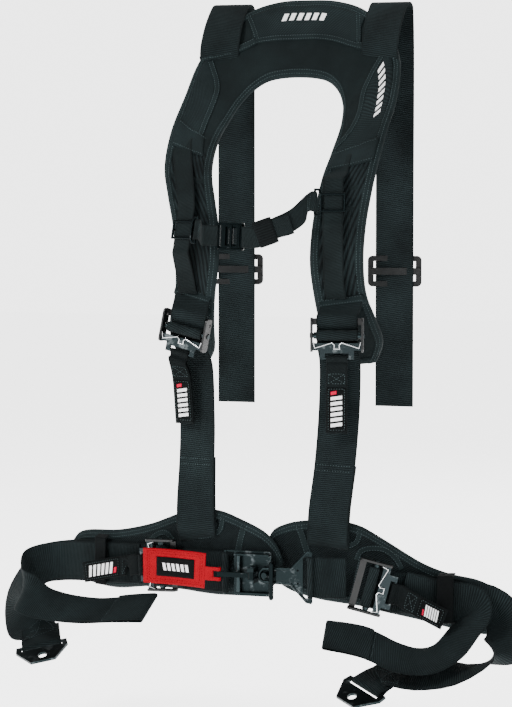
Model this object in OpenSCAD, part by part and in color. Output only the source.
// Four-point racing harness, held up by its shoulder straps.
// -Y is the front and +Z is up. Left and right are as seen from the front, so the left
// pieces are at -X. The origin is the axis of the bar that the shoulder straps are folded
// over.

/* [Webbing] */
// Width of the wide webbing
web_w = 50.8; // [50:0.1:51.5]
// Thickness of the wide webbing
web_t = 1.3; // [1:0.1:1.4]
// Width of the narrow chest webbing
chest_w = 25.4; // [24:0.1:26]
// Thickness of the narrow chest webbing
chest_t = 1.2; // [1:0.1:1.3]
// Width of the pull tabs on the adjusters
tab_w = 26; // [22:1:30]

/* [Pads] */
// Thickness of the neck and shoulder pad
pad_t = 13; // [10:0.5:14]
// Thickness of the lap pads
lap_t = 11; // [8:0.5:12]

/* [Rear straps] */
// Length of the straight strap behind the wearer
rear_len = 508; // [480:5:560]
// Height of the three-bar slides below the bar
slide_drop = 332; // [250:5:380]

/* [Hardware] */
// Thickness of the pressed steel plates
plate_t = 2.5; // [2:0.1:3]
// Diameter of the bolt hole in each lap bracket
bolt_hole_d = 11.5; // [11:0.1:12]

/* [Hidden] */
$fn = 48;

// half pitch of the straps that hang side by side
strap_x = 108;
// slack between a moving piece and what it moves along
gap = 0.35;

// ---- curves ----

function unit(v) = v / norm(v);

function spline(a, b, c, d, t) =
    0.5 * (2 * b + (c - a) * t + (2 * a - 5 * b + 4 * c - d) * t * t
    + (3 * b - a - 3 * c + d) * t * t * t);

// a smooth curve through the rows of a list, with steps points in each span
function smooth(rows, steps) =
    let (last = len(rows) - 1)
    concat([for (i = [0 : last - 1]) for (k = [0 : steps - 1])
        spline(rows[max(i - 1, 0)], rows[i], rows[i + 1], rows[min(i + 2, last)], k / steps)],
        [rows[last]]);

function xyz(row, start = 0) = [row[start], row[start + 1], row[start + 2]];

// direction of travel at each point of a path
function tangents(path) =
    let (last = len(path) - 1)
    [for (i = [0 : last]) unit(path[min(i + 1, last)] - path[max(i - 1, 0)])];

// closed skin over rings of equally many points, with the same diagonals front and back
module skin(rings) {
    count = len(rings[0]);
    last = len(rings) - 1;
    sides = [for (i = [0 : last - 1]) for (k = [0 : count - 1])
        let (a = i * count + k, b = i * count + (k + 1) % count)
        each k < count / 2 ? [[a, b, b + count], [a, b + count, a + count]]
            : [[a, b, a + count], [b, b + count, a + count]]];
    ends = [[for (k = [count - 1 : -1 : 0]) k], [for (k = [0 : count - 1]) last * count + k]];
    polyhedron(points = [for (ring = rings) each ring], faces = concat(sides, ends));
}

// squares the across of each row to the path
function squared(rows) =
    let (along = tangents([for (row = rows) xyz(row)]))
    [for (i = [0 : len(rows) - 1])
        let (wish = xyz(rows[i], 3), a = unit(wish - (wish * along[i]) * along[i]))
        concat(xyz(rows[i]), a)];

// webbing along rows of [x, y, z, across x, across y, across z]
module webbing(rows, width, thick, steps = 4) {
    fine = smooth(rows, steps);
    path = [for (row = fine) xyz(row)];
    along = tangents(path);
    skin([for (i = [0 : len(path) - 1])
        let (across = unit(xyz(fine[i], 3)) * width / 2,
            face = unit(cross(across, along[i])) * thick / 2)
        [path[i] - across - face, path[i] + across - face,
            path[i] + across + face, path[i] - across + face]]);
}

// ---- pads: rows of [inner edge, outer edge, thickness] ----

// the yoke leans to one side about the collarbones
function sway(z) = -8 * exp(-pow((z + 180) / 60, 2));

yoke_half = [
    [0, -58, -82, 0, -17, 17, pad_t - 1],
    [36, -60, -86, 39, -18, 15, pad_t - 1],
    [57, -69, -100, 77, -22, 3, pad_t - 1],
    [70, -85, -121, 112, -36, -26, pad_t],
    [76, -103, -143, 134, -60, -62, pad_t],
    [78, -122, -160, 141, -92, -108, pad_t],
    [77, -146, -182, 142, -128, -152, pad_t],
    [73, -172, -208, 139, -158, -196, pad_t],
    [67, -188, -238, 132, -176, -232, pad_t],
    [61, -198, -275, 125, -185, -270, pad_t],
    [60, -204, -315, 122, -187, -312, pad_t],
    [65, -203, -355, 124, -181, -352, pad_t - 1],
    [70, -192, -392, 134, -172, -384, pad_t - 2],
    [76, -172, -424, 139, -156, -412, pad_t - 4],
    [90, -156, -443, 128, -147, -438, pad_t - 7]
];

// side is -1 for the left and 1 for the right
function yoke_side(side) = [for (row = yoke_half)
    [side * row[0] + sway(row[2]), row[1], row[2],
        side * row[3] + sway(row[5]), row[4], row[5], row[6]]];

function reversed(rows) = [for (i = [len(rows) - 1 : -1 : 0]) rows[i]];

yoke_steps = 3;
half_rows = len(yoke_half);
yoke_rows = smooth(concat(reversed(yoke_side(-1)), [for (i = [1 : half_rows - 1]) yoke_side(1)[i]]),
    yoke_steps);
neck_first = (half_rows - 1 - 3) * yoke_steps;
neck_last = (half_rows - 1 + 3) * yoke_steps;

// one ring of a padded section: a flattened superellipse
function pad_ring(row, along) =
    let (half = (xyz(row, 3) - xyz(row)) / 2, mid = (xyz(row, 3) + xyz(row)) / 2,
        face = unit(cross(half, along)) * row[6] / 2)
    [for (k = [0 : 15]) let (c = cos(k * 22.5), s = sin(k * 22.5))
        mid + half * sign(c) * pow(abs(c), 0.5) + face * sign(s) * pow(abs(s), 0.6)];

module pad(rows, first, last) {
    path = [for (row = rows) (xyz(row, 3) + xyz(row)) / 2];
    along = tangents(path);
    skin([for (i = [first : last]) pad_ring(rows[i], along[i])]);
}

module neck_pad() {
    color("#1c1e1f") pad(yoke_rows, neck_first, neck_last);
}
module left_shoulder_pad() {
    color("#1c1e1f") pad(yoke_rows, 0, neck_first);
}
module right_shoulder_pad() {
    color("#1c1e1f") pad(yoke_rows, neck_last, len(yoke_rows) - 1);
}

// ---- shoulder straps, from the pad over the bar to the cut end behind ----

rear_y = 13;
rear_turn = 10;
rear_across = [cos(rear_turn), sin(rear_turn), 0];

module shoulder_strap(side) {
    front = [for (p = [[-74, -60], [-60, -36], [-41, -13], [-17, 9], [-3, 14], [8, 11],
        [rear_y, 0]])
        [side * (strap_x - 1), p[0], p[1], 1, 0, 0]];
    rear = [for (drop = [60, 200, 350, rear_len])
        [side * strap_x, rear_y, -drop, rear_across[0], rear_across[1], 0]];
    color("#222425") webbing(concat(front, rear), web_w, web_t, 3);
}
module left_shoulder_strap() { shoulder_strap(-1); }
module right_shoulder_strap() { shoulder_strap(1); }

// ---- three-bar slides ----

slide_w = 70;
slide_h = 40;
slide_slot_w = 55;
slide_bar = 7;

// flat plate with quarter-round corners, centred, standing in the XZ plane
module plate_xz(width, height, thick, corner) {
    rotate([90, 0, 0]) linear_extrude(thick, center = true) {
        square([width - 2 * corner, height], center = true);
        square([width, height - 2 * corner], center = true);
        for (x = [-1, 1]) for (y = [-1, 1])
            translate([x * (width / 2 - corner), y * (height / 2 - corner)]) circle(corner);
    }
}

module rear_slide(side) {
    back_y = web_t / 2 + gap + plate_t / 2;
    color("#2b2d2e") translate([side * strap_x, rear_y, -slide_drop]) rotate([0, 0, rear_turn]) {
        difference() {
            translate([0, back_y, 0]) plate_xz(slide_w, slide_h, plate_t, 6);
            translate([0, back_y, 0])
                cube([slide_slot_w, 2 * plate_t, slide_h - 2 * slide_bar], center = true);
        }
        translate([0, -back_y, 0]) plate_xz(slide_w - 2, slide_bar + 2, plate_t, 3);
        for (x = [-1, 1]) translate([x * (slide_w + slide_slot_w) / 4, 0, 0])
            cube([5, 2 * back_y, slide_bar], center = true);
    }
}
module left_rear_slide() { rear_slide(-1); }
module right_rear_slide() { rear_slide(1); }

// ---- placing: [[x, y, z], [lean, tilt, turn]], turned about X, then Y, then Z ----

function turned(v, r) =
    let (a = [v[0], v[1] * cos(r[0]) - v[2] * sin(r[0]), v[1] * sin(r[0]) + v[2] * cos(r[0])],
        b = [a[0] * cos(r[1]) + a[2] * sin(r[1]), a[1], -a[0] * sin(r[1]) + a[2] * cos(r[1])])
    [b[0] * cos(r[2]) - b[1] * sin(r[2]), b[0] * sin(r[2]) + b[1] * cos(r[2]), b[2]];
function world(place, v) = place[0] + turned(v, place[1]);
// a route row at a point of a placed piece, with the webbing across it
function row_at(place, v, across = [1, 0, 0]) =
    let (p = world(place, v), a = turned(across, place[1])) [p[0], p[1], p[2], a[0], a[1], a[2]];
module placed(place) { translate(place[0]) rotate(place[1]) children(); }

// round rod between two points
module rod(from, to, r) {
    d = to - from;
    translate(from) rotate([0, acos(d[2] / norm(d)), atan2(d[1], d[0])])
        cylinder(h = norm(d), r = r, $fn = 24);
}
// round wire through a list of points, with round ends unless they are buried
module wire(points, r, buried = false) {
    last = len(points) - 1;
    for (i = [0 : last - 1]) rod(points[i], points[i + 1], r);
    for (i = buried ? [1 : last - 1] : [0 : last]) translate(points[i]) sphere(r + 0.05, $fn = 24);
}
// round wire bent into a closed ring
module wire_ring(points, r) {
    for (i = [0 : len(points) - 1]) {
        rod(points[i], points[(i + 1) % len(points)], r);
        translate(points[i]) sphere(r + 0.05, $fn = 24);
    }
}
// straight bar along X
module bar_x(length, r) { rotate([0, 90, 0]) cylinder(h = length, r = r, center = true); }
// route rows that wrap a bar: angle 0 lies on the away side and the route heads along it
function wrap(place, centre, along, away, across, r, from, to, lift = 0) =
    [for (k = [0 : 10]) let (a = from + (to - from) * k / 10)
        row_at(place, centre + along * r * sin(a) + away * r * cos(a)
            + (cos(a) * away[2] + sin(a) * along[2] > 0 ? [0, 0, lift] : [0, 0, 0]), across)];

// ---- chest strap: runners on the pads, sliders, webbing halves and buckle ----

left_slider_at = [[-106, -203, -275], [0, 0, -18]];
right_slider_at = [[87, -199, -240], [0, 0, 15]];
runner_lean = -13;
slider_w = 29;
slider_h = 21;
slider_rod = 1.5;
slider_travel = 12;
// distance from the runner's middle to the upright that the chest webbing is sewn round
hook_x = 22;
hook_h = 32;

function leaned(place) = [place[0], [runner_lean, place[1][1], place[1][2]]];

module chest_runner(place, start, end) {
    color("#242627") webbing(concat(start,
        [for (z = [30, 22, -22, -30]) row_at(leaned(place), [0, 0, z])], [end]), chest_w, chest_t);
}
module left_chest_runner() {
    chest_runner(left_slider_at, [[-112, -169, -192, 1, 0, 0.1], [-110, -187, -219, 1, -0.1, 0.1]],
        [-102, -208, -338, 1, -0.2, 0]);
}
module right_chest_runner() {
    chest_runner(right_slider_at, [[86, -154, -169, 1, 0.1, 0], [86, -173, -190, 1, 0.15, 0]],
        [90, -209, -336, 1, 0.2, 0]);
}

module chest_slider(place, side) {
    y = chest_t / 2 + gap + slider_rod;
    x = slider_w / 2;
    z = slider_h / 2;
    hook_z = hook_h / 2;
    color("#8b9092") placed(leaned(place)) {
        wire_ring([[-x, -y, -z], [x, -y, -z], [x, -y, z], [-x, -y, z]], slider_rod);
        wire([[-x, -y, 0], [-x, y, 0], [x, y, 0], [x, -y, 0]], slider_rod, true);
        wire([[-side * x, -y, z], [-side * (x + 3), -y, hook_z], [-side * hook_x, -y, hook_z],
            [-side * hook_x, -y, -hook_z], [-side * (x + 3), -y, -hook_z], [-side * x, -y, -z]],
            slider_rod, true);
    }
}
module left_chest_slider() { chest_slider(left_slider_at, -1); }
module right_chest_slider() { chest_slider(right_slider_at, 1); }

// the upright of each slider's hook, in the slider's own axes
hook_y = -(chest_t / 2 + gap + slider_rod);
left_hook_at = [world(leaned(left_slider_at), [hook_x, hook_y, 0]), leaned(left_slider_at)[1]];
right_hook_at = [world(leaned(right_slider_at), [-hook_x, hook_y, 0]), leaned(right_slider_at)[1]];
hook_loop_r = slider_rod + gap;
buckle_at = [[-34, -238, -281], [0, 2, 0]];
frame_w = 38;
frame_h = 34;

// direction is the way the webbing leaves the hook
module chest_half(hook, direction, rows) {
    color("#242627") webbing(concat(wrap(hook, [0, 0, 0], [direction, 0, 0], [0, -1, 0], [0, 0, 1],
        hook_loop_r + chest_t / 2, -230, 0), rows), chest_w, chest_t, 2);
}
module left_chest_strap() {
    chest_half(left_hook_at, 1, [
        row_at(left_hook_at, [7, -hook_loop_r - 0.8, 0], [0, 0, 1]),
        row_at(buckle_at, [-36, 0.3, 0], [0, 0, 1]), row_at(buckle_at, [-29, 0.3, 0], [0, 0, 1]),
        row_at(buckle_at, [-15, 0.3, 0], [0, 0, 1])]);
}
module right_chest_strap() {
    chest_half(right_hook_at, -1, [
        row_at(right_hook_at, [-7, -hook_loop_r - 0.8, 0], [0.1, 0, 1]),
        [54, -223, -252, -0.35, -0.1, 0.9], [43, -230, -262, -0.35, -0.1, 0.9],
        [22, -237, -272, -0.35, -0.1, 0.9], row_at(buckle_at, [38, -5, 0], [-0.1, 0, 1]),
        row_at(buckle_at, [19, -5.5, 0], [0, 0, 1])]);
}
// sheet frame with turned edges: the left webbing is sewn round its left bar
module chest_buckle_frame() {
    color("#55595b") placed(buckle_at) {
        difference() {
            translate([0, 2, 0]) plate_xz(frame_w, frame_h, 1.8, 3);
            translate([-10, 2, 0]) cube([5, 4, chest_w + 1], center = true);
            translate([6, 2, 0]) cube([14, 4, chest_w - 6], center = true);
        }
        for (z = [-1, 1]) translate([2, -0.5, z * (frame_h / 2 - 1)])
            cube([frame_w - 8, 4, 2], center = true);
        for (z = [-1, 1]) translate([-frame_w / 2 + 4, 1.2, z * (frame_h / 2 - 2.1)])
            rotate([90, 0, 0]) cylinder(h = 3.6, r = 1.8);
    }
}
// ladder plate that lies in the frame: the right webbing is threaded round its bars
module chest_buckle_tongue() {
    color("#3a3d3f") placed(buckle_at) {
        difference() {
            translate([4, -1.6, 0]) plate_xz(26, frame_h - 5, 1.6, 3);
            for (x = [-2, 8]) translate([x, -1.6, 0]) cube([5, 3, chest_w - 2], center = true);
        }
        for (x = [3, 13.5]) translate([x, -3.4, -(frame_h - 7) / 2]) cylinder(h = frame_h - 7, r = 1.4);
    }
}
// elastic band that holds the folded end of the webbing
module chest_keeper() {
    at = [[13, -239.5, -276], [0, -20, 17]];
    color("#2a2c2d") placed(at) difference() {
        cube([24, 8, chest_w + 8], center = true);
        cube([26, 5.8, chest_w + 5.5], center = true);
    }
}

// ---- webbing adjusters: frame, sliding bar, spring, lever plate and pull tab ----

left_adjuster_at = [[-98, -217, -400], [0, 12, -12]];
right_adjuster_at = [[98, -217, -402], [0, 0, 13]];
left_lap_adjuster_at = [[-126, -229, -693], [0, 87, -15]];
right_lap_adjuster_at = [[142, -217, -710], [0, -75, 14]];

bar_r = 4.2;
pin_r = 3;
bar_lift = 1.2;
// the webbing is slack round the bar, so that the bar can rise while the frame is tilted
wrap_r = bar_r + 0.9;
ear_x = 30;
ear_t = 2.5;
ear_top = 22;
ear_foot = -20;
rim_z = -27.5;
rim_r = 1.5;
lever_y = -5.2;

module adjuster_frame(place) {
    color("#33373a") placed(place) {
        for (side = [-1, 1]) difference() {
            translate([side * (ear_x + ear_t / 2), -2.5, (ear_top + ear_foot) / 2])
                rotate([0, 0, 90]) plate_xz(13, ear_top - ear_foot, ear_t, 4);
            for (z = [0, bar_lift]) translate([side * (ear_x + ear_t / 2), 0, z])
                bar_x(2 * ear_t, pin_r + 0.06);
            translate([side * (ear_x + ear_t / 2), 0, 14]) bar_x(2 * ear_t, 2);
        }
        translate([-ear_x, 1.5, 13]) cube([2 * ear_x, 2.5, 8]);
        translate([-ear_x, 1.5, -18]) cube([2 * ear_x, 2.5, 6]);
    }
}
module adjuster_bar(place) {
    color("#74797b") placed(place) {
        bar_x(2 * ear_x - 3, bar_r);
        bar_x(2 * (ear_x + ear_t) + 2, pin_r);
    }
}
module adjuster_spring(place) {
    half = [[3.5, -16], [3, -11], [6, -8.5], [27, -15], [29, -8]];
    y = lever_y - 2.2;
    color("#b9bdbf") placed(place)
        wire(concat([for (p = reversed(half)) [-p[0], y, p[1]]], [for (p = half) [p[0], y, p[1]]]), 0.7);
}
module adjuster_lever(place) {
    leg_x = 21;
    slot_x = 14.5;
    color("#5b6063") placed(place) {
        difference() {
            union() {
                translate([-ear_x, lever_y - 1.2, -18]) cube([2 * ear_x, 2.4, 9]);
                translate([-leg_x, lever_y - 1.2, rim_z - 1.5]) cube([2 * leg_x, 2.4, 12]);
            }
            translate([-slot_x, lever_y - 3, rim_z - 3]) cube([2 * slot_x, 6, 9]);
        }
        translate([0, lever_y, rim_z]) bar_x(2 * slot_x + 4, rim_r);
    }
}
// rows moved off their middle line, towards the front for a negative distance
function layer(rows, distance) =
    let (along = tangents([for (row = rows) xyz(row)]))
    [for (i = [0 : len(rows) - 1]) let (face = unit(cross(along[i], xyz(rows[i], 3))) * distance)
        [rows[i][0] + face[0], rows[i][1] + face[1], rows[i][2] + face[2],
            rows[i][3], rows[i][4], rows[i][5]]];
// pull tab: webbing folded over the lever's rim, with both layers hanging along a route of rows
module pull_tab(place, rows) {
    tab_t = 1.5;
    r = rim_r + gap + tab_t / 2;
    fine = smooth(concat([row_at(place, [0, lever_y, rim_z - 7]),
        row_at(place, [0, lever_y, rim_z - 11])], rows), 3);
    color("#1d1f20") webbing(concat(reversed(layer(fine, -1.1)),
        wrap(place, [0, lever_y, rim_z], [0, 1, 0], [0, 0, 1], [1, 0, 0], r, -90, 90),
        layer(fine, 1.1)), tab_w, tab_t, 1);
}
// webbing that comes along rows, passes behind the adjuster's bar and wraps it
module bar_webbing(place, rows) {
    color("#242627") webbing(concat(rows, [row_at(place, [0, 0.2, 24]), row_at(place, [0, -0.1, 14.5]),
        row_at(place, [0, 2.9, 8.7])], wrap(place, [0, 0, 0], [0, 0, -1], [0, 1, 0], [1, 0, 0],
        wrap_r + web_t / 2, 0, 240, bar_lift)), web_w, web_t, 2);
}

module left_shoulder_adjuster() { adjuster_frame(left_adjuster_at); }
module right_shoulder_adjuster() { adjuster_frame(right_adjuster_at); }
module left_lap_adjuster() { adjuster_frame(left_lap_adjuster_at); }
module right_lap_adjuster() { adjuster_frame(right_lap_adjuster_at); }
module left_shoulder_bar() { adjuster_bar(left_adjuster_at); }
module right_shoulder_bar() { adjuster_bar(right_adjuster_at); }
module left_lap_bar() { adjuster_bar(left_lap_adjuster_at); }
module right_lap_bar() { adjuster_bar(right_lap_adjuster_at); }
module left_shoulder_spring() { adjuster_spring(left_adjuster_at); }
module right_shoulder_spring() { adjuster_spring(right_adjuster_at); }
module left_lap_spring() { adjuster_spring(left_lap_adjuster_at); }
module right_lap_spring() { adjuster_spring(right_lap_adjuster_at); }
module left_shoulder_lever() { adjuster_lever(left_adjuster_at); }
module right_shoulder_lever() { adjuster_lever(right_adjuster_at); }
module left_lap_lever() { adjuster_lever(left_lap_adjuster_at); }
module right_lap_lever() { adjuster_lever(right_lap_adjuster_at); }

module left_shoulder_tab() {
    pull_tab(left_adjuster_at, [[-100, -223, -460, 1, -0.2, 0], [-97, -223, -515, 1, -0.2, 0]]);
}
module right_shoulder_tab() {
    pull_tab(right_adjuster_at, [[99, -222, -470, 1, 0.2, 0], [99, -222, -522, 1, 0.2, 0]]);
}
module left_lap_tab() {
    pull_tab(left_lap_adjuster_at, [[-190, -214.5, -700, 0, 0, 1], [-240, -204.5, -711, -0.15, 0, 1]]);
}
module right_lap_tab() {
    pull_tab(right_lap_adjuster_at, [[192, -214, -727, 0.3, 0, 1], [232, -206, -748, 0.4, 0, 1]]);
}

module left_hem_strap() {
    bar_webbing(left_adjuster_at, [[-95, -206, -345, 1, -0.2, -0.1], [-96, -209, -362, 1, -0.2, -0.1]]);
}
module right_hem_strap() {
    bar_webbing(right_adjuster_at, [[97, -206, -345, 1, 0.2, 0], [98, -209, -362, 1, 0.2, 0]]);
}

// ---- lower front straps, doubled below the stitching ----

doubled_gap = 3.5;
module lower_strap(rows, first_doubled) {
    color("#222425") {
        webbing(rows, web_w, web_t);
        webbing([for (i = [first_doubled : len(rows) - 1])
            rows[i] + [1, i == first_doubled ? 0.75 * web_t : doubled_gap, 0, 0, 0, 0]], web_w, web_t);
    }
}
module left_lower_strap() {
    lower_strap([row_at(left_adjuster_at, [0, 7.8, 8]), row_at(left_adjuster_at, [0, 7.8, -12]),
        [-89, -207, -440, 1, -0.2, -0.1], [-85, -212, -500, 1, -0.2, 0], [-83, -219, -556, 1, -0.2, 0],
        [-82, -228, -610, 1, -0.1, 0], [-80, -233, -640, 1, -0.05, 0]], 4);
}
module right_lower_strap() {
    lower_strap([row_at(right_adjuster_at, [0, 7.8, 8]), row_at(right_adjuster_at, [0, 7.8, -12]),
        [99, -207, -440, 1, 0.2, 0], [98, -208, -500, 1, 0.2, 0], [94, -212, -562, 1, 0.15, -0.05],
        [88, -217, -615, 1, 0.1, -0.05], [87, -220, -648, 1, 0.1, 0]], 4);
}

// ---- lap pads: rows of [top edge, bottom edge, thickness] ----

left_lap_rows = [
    [-281, -141, -690, -281, -141, -706, 5],
    [-273, -145, -672, -268, -147, -724, 9],
    [-250, -159, -663, -240, -163, -730, lap_t],
    [-200, -183, -658, -200, -183, -731, lap_t],
    [-150, -202, -646, -150, -202, -724, lap_t],
    [-108, -214, -630, -105, -214, -724, lap_t],
    [-80, -219, -624, -75, -220, -726, lap_t],
    [-52, -223, -623, -48, -223, -727, lap_t],
    [-22, -225, -633, -18, -225, -725, lap_t],
    [8, -226, -647, 5, -226, -721, lap_t],
    [24, -225, -664, 20, -226, -712, 9],
    [31, -225, -680, 30, -225, -694, 5]
];
right_lap_rows = [
    [8, -211, -662, 8, -211, -690, 5],
    [13, -211, -648, 17, -211, -706, 9],
    [26, -210, -640, 32, -210, -717, lap_t],
    [48, -210, -634, 52, -209, -724, lap_t],
    [85, -207, -632, 80, -208, -730, lap_t],
    [120, -201, -637, 122, -200, -736, lap_t],
    [152, -193, -655, 156, -192, -744, lap_t],
    [195, -179, -683, 190, -181, -752, lap_t],
    [228, -168, -697, 218, -171, -760, lap_t],
    [262, -153, -706, 248, -159, -768, lap_t],
    [288, -141, -722, 275, -147, -772, 9],
    [299, -136, -742, 291, -139, -764, 5]
];

module lap_pad(rows) {
    fine = smooth(rows, 3);
    color("#1c1e1f") pad(fine, 0, len(fine) - 1);
}
module left_lap_pad() { lap_pad(left_lap_rows); }
module right_lap_pad() { lap_pad(right_lap_rows); }

// ---- lap webbing: the anchored strand and the loose tail ----

// the strand wraps the adjuster's bar, follows rows and is sewn round the bracket's bar
module lap_strap(at, bracket_at, side, rows) {
    r = bracket_bar_r + gap + web_t / 2;
    color("#242627") webbing(concat(
        wrap(at, [0, 0, 0], [0, 0, -1], [0, 1, 0], [side, 0, 0], wrap_r + web_t / 2, -235, 0, bar_lift),
        [row_at(at, [0, 5.6, -9], [side, 0, 0]), row_at(at, [0, 6.4, -18], [side, 0, 0]),
            row_at(at, [0, 8, -30], [side, 0, 0])],
        squared(rows),
        [row_at(bracket_at, [0, -2.8, 14], [-1, 0, 0]), row_at(bracket_at, [0, -3.2, 7], [-1, 0, 0])],
        wrap(bracket_at, [0, 0, 0], [0, 0, -1], [0, -1, 0], [-1, 0, 0], r, 0, 180),
        [row_at(bracket_at, [0, 2.6, 5], [-1, 0, 0]), row_at(bracket_at, [0, 0.3, 13], [-1, 0, 0])]),
        web_w, web_t, 2);
}
module left_lap_strap() {
    lap_strap(left_lap_adjuster_at, left_bracket_at, -1, [
        [-200, -193, -697, 0, 0, 1], [-245, -172, -699, 0, 0, 1], [-285, -152, -704, 0, 0.1, 1],
        [-324, -138, -713, -0.1, 0.3, 0.93], [-352, -133, -733, -0.3, 0.7, 0.65],
        [-368, -131, -757, -0.6, 0.75, 0.25], [-361, -138, -778, -0.85, 0.4, -0.05],
        [-346, -149, -792, -0.95, 0.1, -0.2], row_at(left_bracket_at, [0, -1.8, 30], [-1, 0, 0])]);
}
module left_lap_tail() {
    color("#242627") webbing(squared([[-160, -213, -695, 0, 0, 1], [-200, -197, -698, 0, 0, 1],
        [-245, -176, -701, 0, 0, 1], [-290, -158, -705, 0, 0, 1], [-322, -162, -712, -0.1, 0.1, 1],
        [-334, -180, -728, 0, 0.35, 0.93], [-318, -196, -748, 0, 0.6, 0.8], [-285, -206, -756, 0, 0.8, 0.6],
        [-230, -222, -757, 0, 0.85, 0.5], [-180, -236, -751, 0, 0.85, 0.5],
        [-138, -245, -747, 0.2, 0.8, 0.55]]), web_w, web_t);
}
module right_lap_strap() {
    lap_strap(right_lap_adjuster_at, right_bracket_at, 1, [
        [205, -187, -722, 0.2, 0, 0.98], [240, -175, -727, 0.2, 0, 0.98],
        [274, -163, -733, 0.4, 0, 0.92], [299, -166, -752, 0.8, 0.3, 0.5],
        [303, -186, -778, 0.8, 0.5, 0.2], [285, -212, -797, 0.4, 0.85, 0.25],
        [248, -233, -808, -0.1, 0.85, 0.45], [205, -238, -814, -0.4, 0.75, 0.45],
        row_at(right_bracket_at, [0, -1.8, 30], [-1, 0, 0])]);
}
module right_lap_tail() {
    color("#242627") webbing(squared([[178, -203, -716, 0.25, 0, 0.97], [210, -193, -724, 0.2, 0, 0.98],
        [240, -182, -729, 0.25, 0, 0.97], [260, -176, -734, 0.5, 0, 0.86], [266, -186, -746, 0.8, 0, 0.6],
        [254, -198, -764, 0.94, 0, 0.34], [240, -222, -784, 0.9, 0, 0.1], [217, -243, -793, 0.6, -0.5, -0.4],
        [187, -258, -788, 0.3, -0.7, -0.6], [149, -272, -770, 0.2, -0.75, -0.6],
        [104, -284, -762, 0.2, -0.8, -0.5]]), web_w, web_t);
}
module keeper(at, drop) {
    side = [[-8, drop / 2], [0, drop / 2 - 4], [0, 4 - drop / 2], [-8, -drop / 2]];
    color("#1d1f20") webbing([for (p = side)
        [at[0][0], at[0][1] - p[0], at[0][2] + p[1], cos(at[1][2]), sin(at[1][2]), 0]], 20, 1.2);
}
module left_lap_keeper() { keeper([[-222, -194, -697], [0, 0, -27]], 62); }
module right_lap_keeper() { keeper([[230, -195, -725], [0, 0, 20]], 60); }

// ---- end brackets with a bolt hole, turning on the webbing's end loop ----

left_bracket_at = [[-306, -188, -811], [-65, -12, 20]];
right_bracket_at = [[150, -262, -826], [-65, 15, -33]];
bracket_t = 3.5;
bracket_hole_z = -24;
bracket_bar_r = 2.5;

module bracket(at) {
    slot_w = web_w + 3;
    color("#6d7275") placed(at) {
        difference() {
            rotate([90, 0, 0]) linear_extrude(bracket_t, center = true)
                polygon([[-33, 1.5], [33, 1.5], [34, -9], [16, -36], [-16, -36], [-34, -9]]);
            translate([0, 0, -1]) cube([slot_w, 2 * bracket_t, 14], center = true);
            translate([0, 0, bracket_hole_z]) rotate([90, 0, 0])
                cylinder(h = 3 * bracket_t, d = bolt_hole_d, center = true);
        }
        bar_x(slot_w + 1, bracket_bar_r);
    }
}
module left_lap_bracket() { bracket(left_bracket_at); }
module right_lap_bracket() { bracket(right_bracket_at); }

// ---- lap latch: base, roller, lever with its red tab, and the link it holds ----

// middle of the latch, on the back face of its base plate
latch_at = [[-3, -238, -697], [0, 0, 0]];
latch_t = 2.5;
latch_h = 56;
base_bar_x = -36;
roller_x = -17;
lever_x = 3;
lever_y_off = -17.5;
lever_end_x = -40;
lever_pin_r = 2;
post_x = 18;
link_y = -10.5;
link_hinge_x = 77;
link_bar_r = 2.5;
edge_r = 2;

module latch_base() {
    flange_z = latch_h / 2 - 4;
    color("#7b8083") placed(latch_at) {
        difference() {
            translate([-6, -latch_t / 2, 0]) plate_xz(60, latch_h, latch_t, 3);
            translate([-29, -latch_t / 2, 0]) cube([10, 2 * latch_t, web_w + 2], center = true);
        }
        translate([base_bar_x, -latch_t / 2, -latch_h / 2]) cylinder(h = latch_h, r = 2.5);
        for (z = [-1, 1]) difference() {
            translate([-22, -10, z * flange_z - 1]) cube([45, 8, 2]);
            translate([roller_x, -7, z * flange_z]) cylinder(h = 4, r = 1.5, center = true);
        }
        for (z = [-1, 1]) difference() {
            translate([lever_x - 4, -21.5, z * 7 - 2.5]) cube([8, 19.5, 5]);
            translate([lever_x, lever_y_off, z * 7]) cylinder(h = 10, r = lever_pin_r, center = true);
        }
        translate([post_x, -1, 0]) rotate([90, 0, 0]) cylinder(h = 13, r = 3.5);
    }
}
module latch_roller() {
    color("#a0a5a7") placed(latch_at) translate([roller_x, -7, 0]) {
        cylinder(h = latch_h - 11, r = 3, center = true);
        cylinder(h = latch_h - 6, r = 1.5, center = true);
    }
}
module latch_pin() {
    color("#a0a5a7") placed(latch_at) translate([lever_x, lever_y_off, 0])
        cylinder(h = 21, r = lever_pin_r, center = true);
}
module latch_lever() {
    arm = lever_x - lever_end_x;
    color("#5d6265") placed(latch_at) translate([0, lever_y_off, 0]) {
        difference() {
            union() {
                translate([lever_x, 0, 0]) cylinder(h = 8.6, r = 4, center = true);
                translate([lever_end_x, -1.8, -3]) cube([arm - 1, 3.6, 6]);
            }
            translate([lever_x, 0, 0]) cylinder(h = 12, r = lever_pin_r + 0.05, center = true);
        }
        translate([lever_end_x, 0, 0]) cylinder(h = 17, r = 1.8, center = true);
    }
}
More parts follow.
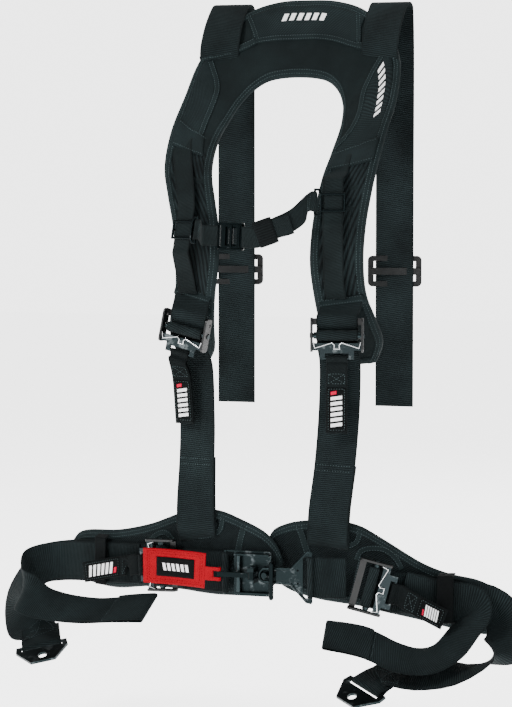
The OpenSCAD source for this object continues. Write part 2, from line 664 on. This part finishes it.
// red webbing tab folded round the lever's end
module release_tab() {
    tab_end = [[latch_at[0][0] + lever_end_x, latch_at[0][1] + lever_y_off, latch_at[0][2]], [0, 0, 0]];
    color("#d8212b") {
        placed(tab_end) difference() {
            cylinder(h = 17, r = 3.4, center = true);
            cylinder(h = 20, r = 1.8 + gap, center = true);
            cylinder(h = 7.6, r = 4, center = true);
        }
        webbing([[-46.2, -255.5, -697, 0, 0, 1], [-54, -255.2, -697, 0, 0, 1],
            [-62, -254, -696, 0, 0, 1], [-70, -252.8, -695, 0, 0, 1]], 17, 3);
        webbing([[-61, -254.2, -694, 0, 0, 1], [-78, -251.5, -693, 0, 0, 1],
            [-110, -247.5, -692, 0, 0, 1], [-144, -244, -692, -0.1, 0, 1]], 44, 3.6);
    }
}
// webbing sewn round a vertical bar at a point, leaving behind it along rows
module upright_webbing(at, side, rows) {
    color("#2a2c2d") webbing(concat(wrap([at, [0, 0, 0]], [0, 0, 0], [side, 0, 0], [0, 1, 0], [0, 0, 1],
        link_bar_r + gap + web_t / 2, -235, 0), rows), web_w, web_t, 2);
}
module latch_strap() {
    at = latch_at[0] + [base_bar_x, -latch_t / 2, 0];
    upright_webbing(at, -1, [for (p = [at + [-8, 4.2, 0], at + [-20, 6.5, 0], [-75, -229, -697],
        [-100, -224.5, -697]]) concat(p, [0, 0, 1])]);
}
module link_plate() {
    color("#7b8083") placed(latch_at) translate([0, link_y, 0]) {
        difference() {
            rotate([90, 0, 0]) linear_extrude(latch_t, center = true)
                polygon([[33, -8], [52, -9], [link_hinge_x - 5, -30], [link_hinge_x, -31],
                    [link_hinge_x, 31], [link_hinge_x - 5, 30], [52, 9], [33, 8]]);
            translate([link_hinge_x - 5.5, 0, 0]) cube([8, 2 * latch_t, web_w + 1], center = true);
            for (z = [-8, 8]) translate([61, 0, z]) rotate([90, 0, 0])
                cylinder(h = 9, r = 1.3, center = true);
        }
        translate([link_hinge_x, 0, -31]) cylinder(h = 62, r = link_bar_r);
        for (z = [-1, 1])
            wire([[post_x + 1, 0, z * 8], [52, 0, z * 9], [link_hinge_x - 5, 0, z * 30],
                [link_hinge_x, 0, z * 31]], edge_r);
        translate([post_x + 1, 0, 0]) rotate([90, 0, 0]) rotate([0, 0, 90])
            rotate_extrude(angle = 180) translate([8, 0]) circle(edge_r, $fn = 24);
    }
}
module link_cross_pin() {
    color("#8d9294") placed(latch_at) translate([28, link_y - edge_r - 3, -27]) {
        cylinder(h = 42, r = 3);
        translate([0, 0, 42]) sphere(3);
        sphere(3);
    }
}
module link_strap() {
    at = latch_at[0] + [link_hinge_x, link_y, 0];
    upright_webbing(at, 1, [for (p = [at + [7, 4.6, 0], at + [13, 9, -1], [96, -226, -700],
        [110, -217, -701]]) concat(p, [0, 0, 1])]);
}

neck_pad();
left_shoulder_pad();
right_shoulder_pad();
left_shoulder_strap();
right_shoulder_strap();
left_rear_slide();
right_rear_slide();
left_chest_runner();
right_chest_runner();
left_chest_slider();
right_chest_slider();
left_chest_strap();
right_chest_strap();
chest_buckle_frame();
chest_buckle_tongue();
chest_keeper();
left_shoulder_adjuster();
right_shoulder_adjuster();
left_lap_adjuster();
right_lap_adjuster();
left_shoulder_bar();
right_shoulder_bar();
left_lap_bar();
right_lap_bar();
left_shoulder_spring();
right_shoulder_spring();
left_lap_spring();
right_lap_spring();
left_shoulder_lever();
right_shoulder_lever();
left_lap_lever();
right_lap_lever();
left_shoulder_tab();
right_shoulder_tab();
left_lap_tab();
right_lap_tab();
left_hem_strap();
right_hem_strap();
left_lower_strap();
right_lower_strap();
left_lap_pad();
right_lap_pad();
left_lap_strap();
left_lap_tail();
right_lap_strap();
right_lap_tail();
left_lap_keeper();
right_lap_keeper();
left_lap_bracket();
right_lap_bracket();
latch_base();
latch_roller();
latch_pin();
latch_lever();
release_tab();
latch_strap();
link_plate();
link_cross_pin();
link_strap();
